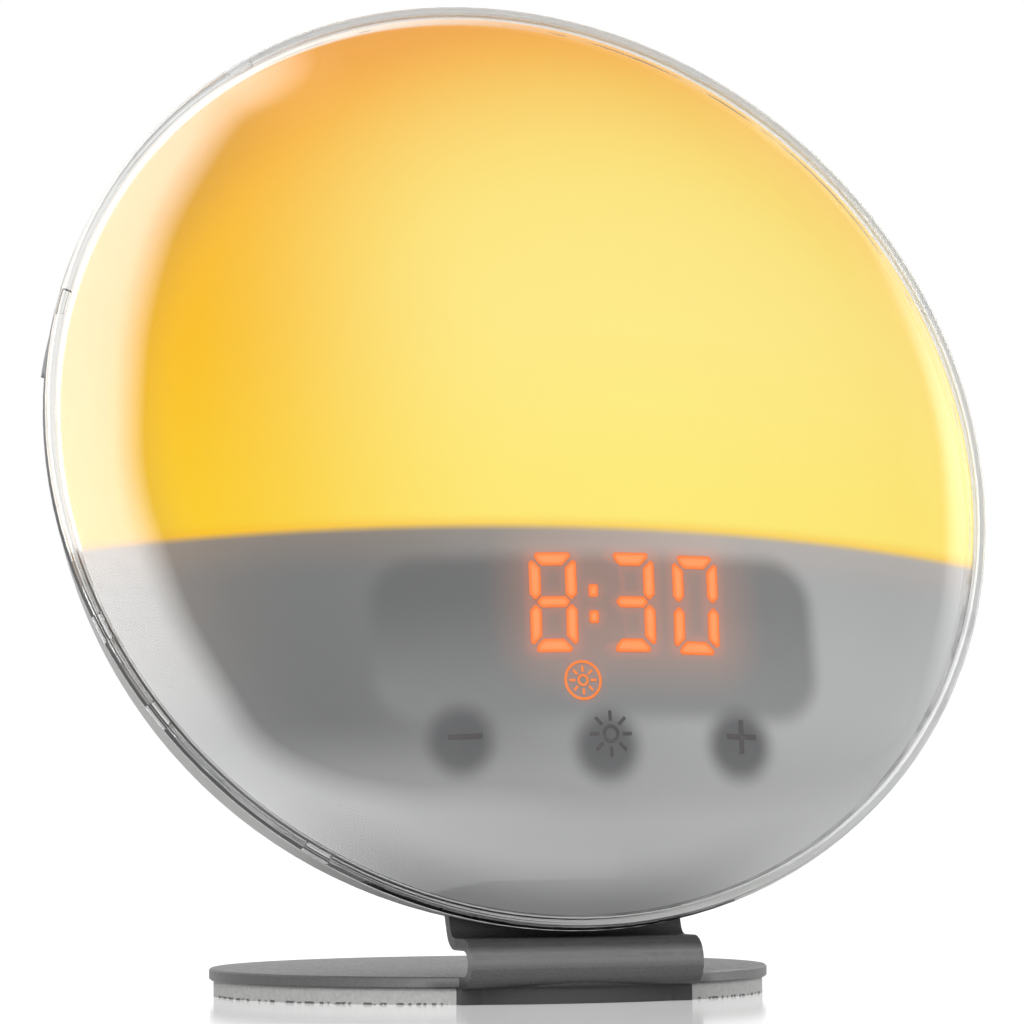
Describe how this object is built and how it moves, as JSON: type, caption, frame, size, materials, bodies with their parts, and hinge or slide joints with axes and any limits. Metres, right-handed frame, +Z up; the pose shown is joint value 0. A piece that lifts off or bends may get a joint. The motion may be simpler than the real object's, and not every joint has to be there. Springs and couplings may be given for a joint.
{
  "type": "sunrise alarm clock",
  "caption": "Round domed wake-up light on a bent-sheet stand: clear dome over a milky diffuser, lit upper half, digits and touch keys under it, tilting head.",
  "frame": {"origin": "centre of the round foot pad on the surface it stands on", "axes": "+Z up; +X to the right of a person who faces the clock; the face looks towards -Y and leans back"},
  "size_m": [0.178, 0.1035, 0.1803],
  "materials": {
    "stand_grey": "fine grain",
    "pad_rubber": "matt",
    "shell_grey": "satin",
    "clear_plastic": "clear, polished",
    "milky_plastic": "translucent",
    "white_plastic": "smooth",
    "panel_plastic": "smooth",
    "board_white": "solder mask",
    "board_green": "solder mask",
    "emitter": "emissive",
    "dark_plastic": "smooth",
    "digit_orange": "emissive",
    "electrode": "matt",
    "steel": "plain",
    "brass": "plain",
    "ribbon_white": "flexible",
    "key_grey": "satin",
    "paper_black": "pulp",
    "lead_red": "insulation",
    "ferrite": "plain"
  },
  "bodies": {
    "stand": {"stand_band": "stand_grey", "foot_pad": "pad_rubber"},
    "head": {"rear_shell": "shell_grey", "front_lens": "clear_plastic", "diffuser": "milky_plastic", "light_tray": "white_plastic", "panel_tray": "panel_plastic", "led_board": "board_white", "led_emitters": "emitter", "panel_board": "board_green", "display_shroud": "dark_plastic", "display_module": "dark_plastic", "display_segments": "digit_orange", "touch_minus": "electrode", "touch_light": "electrode", "touch_plus": "electrode", "hinge_bracket": "steel", "hinge_pin": "steel", "friction_washer_left": "brass", "friction_washer_right": "brass", "bracket_screws": "steel", "main_board": "board_green", "control_chip": "dark_plastic", "power_parts": "ferrite", "led_ribbon": "ribbon_white", "panel_ribbon": "ribbon_white", "dc_inlet": "dark_plastic", "cell_holder": "dark_plastic", "coin_cell": "steel", "speaker_gasket": "electrode", "speaker_frame": "ferrite", "speaker_cone": "paper_black", "speaker_magnet": "ferrite", "speaker_lead": "lead_red", "side_switch_left": "board_green", "side_switch_right": "board_green", "rear_switches": "dark_plastic", "case_screws": "steel", "board_screws": "steel"},
    "side_key_left": {"side_key_left": "key_grey"},
    "side_key_right": {"side_key_right": "key_grey"},
    "rear_key_left": {"rear_key_left": "key_grey"},
    "rear_key_middle": {"rear_key_middle": "key_grey"},
    "rear_key_right": {"rear_key_right": "key_grey"},
    "cell_cover": {"cell_cover": "shell_grey", "cell_cover_screw": "steel"}
  },
  "joints": [
    {"name": "head_tilt", "type": "hinge", "parent": "stand", "child": "head", "pos_m": [0, -0.03374, 0.02315], "axis": [-1, 0, 0], "range_deg": [0, 15]},
    {"name": "side_key_left_press", "type": "slide", "parent": "head", "child": "side_key_left", "axis": [0.9472, -0.1128, -0.3001], "range_m": [0, 0.0005], "stiffness_N_per_m": 1500},
    {"name": "side_key_right_press", "type": "slide", "parent": "head", "child": "side_key_right", "axis": [-0.9472, -0.1128, -0.3001], "range_m": [0, 0.0005], "stiffness_N_per_m": 1500},
    {"name": "rear_key_left_press", "type": "slide", "parent": "head", "child": "rear_key_left", "axis": [0, -0.9361, 0.3518], "range_m": [0, 0.0007], "stiffness_N_per_m": 1500},
    {"name": "rear_key_middle_press", "type": "slide", "parent": "head", "child": "rear_key_middle", "axis": [0, -0.9361, 0.3518], "range_m": [0, 0.0007], "stiffness_N_per_m": 1500},
    {"name": "rear_key_right_press", "type": "slide", "parent": "head", "child": "rear_key_right", "axis": [0, -0.9361, 0.3518], "range_m": [0, 0.0007], "stiffness_N_per_m": 1500},
    {"name": "cell_cover_lift", "type": "slide", "parent": "head", "child": "cell_cover", "axis": [0, 0.9361, -0.3518], "range_m": [0, 0.012]}
  ]
}
